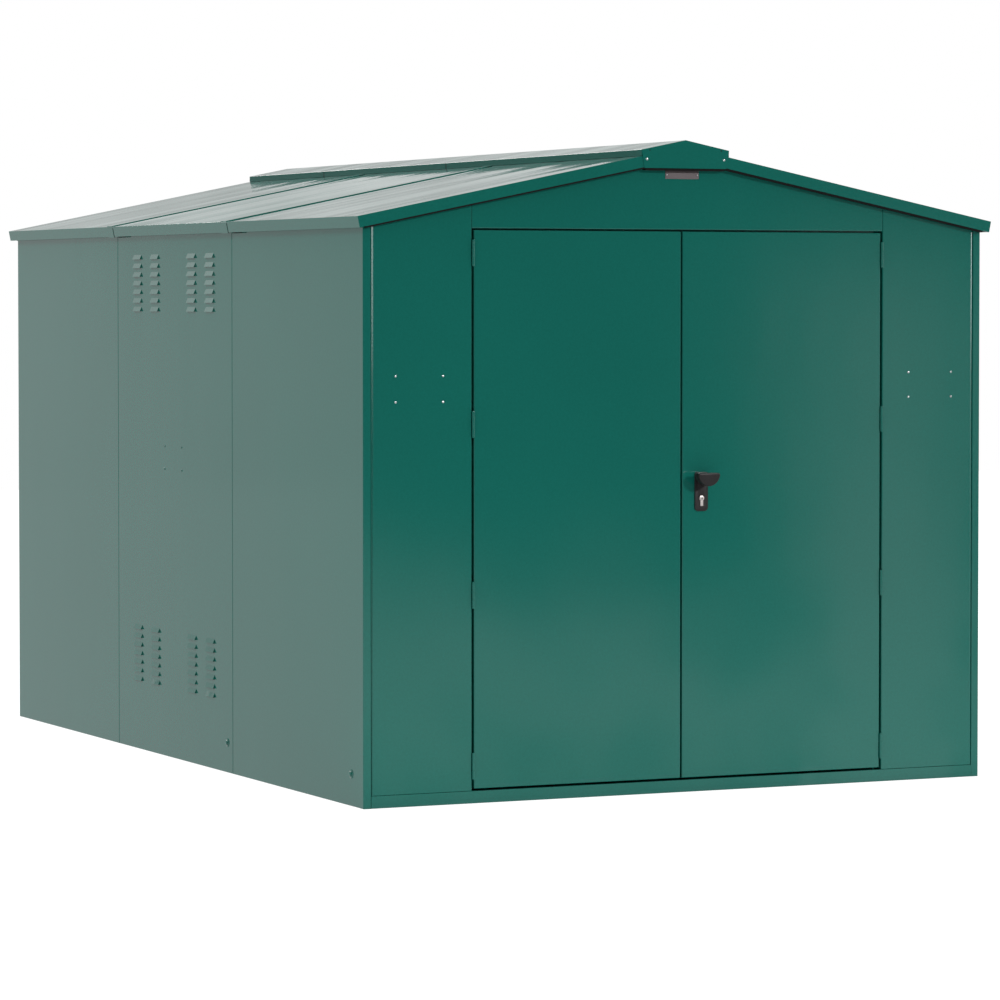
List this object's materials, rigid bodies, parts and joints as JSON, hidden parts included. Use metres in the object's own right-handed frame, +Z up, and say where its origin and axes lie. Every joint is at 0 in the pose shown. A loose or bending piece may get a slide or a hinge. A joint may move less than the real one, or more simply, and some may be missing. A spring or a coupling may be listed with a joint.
{
  "type": "metal storage shed",
  "caption": "Free-standing ridged storage shed of folded, green-coated sheet steel, with outward-opening double doors and louvred side vents.",
  "frame": {"origin": "on the ground, under the middle of the floor", "axes": "+Z up, +Y from the front wall with the doors to the rear wall, +X to the right seen from the front"},
  "size_m": [2.255, 3.3678, 2.0716],
  "materials": {
    "wall_paint": "satin powder coat, green",
    "door_paint": "satin powder coat, green",
    "roof_paint": "satin powder coat, green",
    "hinge_paint": "satin powder coat, green",
    "galvanised": "dull zinc coating",
    "lock_black": "satin black",
    "lock_chrome": "polished",
    "nameplate": "satin dark grey, blank"
  },
  "bodies": {
    "shell": {"base_front": "wall_paint", "base_rear": "wall_paint", "floor_front": "galvanised", "floor_middle": "galvanised", "floor_rear": "galvanised", "side_left_front": "wall_paint", "side_left_middle": "wall_paint", "side_left_rear": "wall_paint", "side_right_front": "wall_paint", "side_right_middle": "wall_paint", "side_right_rear": "wall_paint", "front_panel_left": "wall_paint", "front_panel_right": "wall_paint", "front_header": "wall_paint", "rear_panel_left": "wall_paint", "rear_panel_centre": "wall_paint", "rear_panel_right": "wall_paint", "door_post_left": "wall_paint", "door_post_right": "wall_paint", "door_head_rail": "wall_paint", "roof_left_front": "roof_paint", "roof_left_middle": "roof_paint", "roof_left_rear": "roof_paint", "roof_right_front": "roof_paint", "roof_right_middle": "roof_paint", "roof_right_rear": "roof_paint", "ridge_beam": "galvanised", "ridge_cap_front": "roof_paint", "ridge_cap_middle": "roof_paint", "ridge_cap_rear": "roof_paint", "ridge_end_front": "roof_paint", "ridge_end_rear": "roof_paint", "nameplate": "nameplate", "hinge_frame_left": "hinge_paint", "hinge_frame_right": "hinge_paint"},
    "left_leaf": {"door_left": "door_paint", "hinge_door_left": "hinge_paint"},
    "right_leaf": {"door_right": "door_paint", "hinge_door_right": "hinge_paint", "lock_plate": "lock_black", "lock_case": "galvanised", "lock_cylinder": "lock_chrome"},
    "handle": {"door_handle": "lock_black"}
  },
  "joints": [
    {"name": "door_left_swing", "type": "hinge", "parent": "shell", "child": "left_leaf", "pos_m": [-0.729, -1.6445, 0.9], "axis": [0, 0, -1], "range_deg": [0, 120]},
    {"name": "door_right_swing", "type": "hinge", "parent": "shell", "child": "right_leaf", "pos_m": [0.729, -1.6445, 0.9], "axis": [0, 0, 1], "range_deg": [0, 120]},
    {"name": "handle_turn", "type": "hinge", "parent": "right_leaf", "child": "handle", "pos_m": [0.0695, -1.661, 1], "axis": [0, 1, 0], "range_deg": [0, 90]}
  ]
}
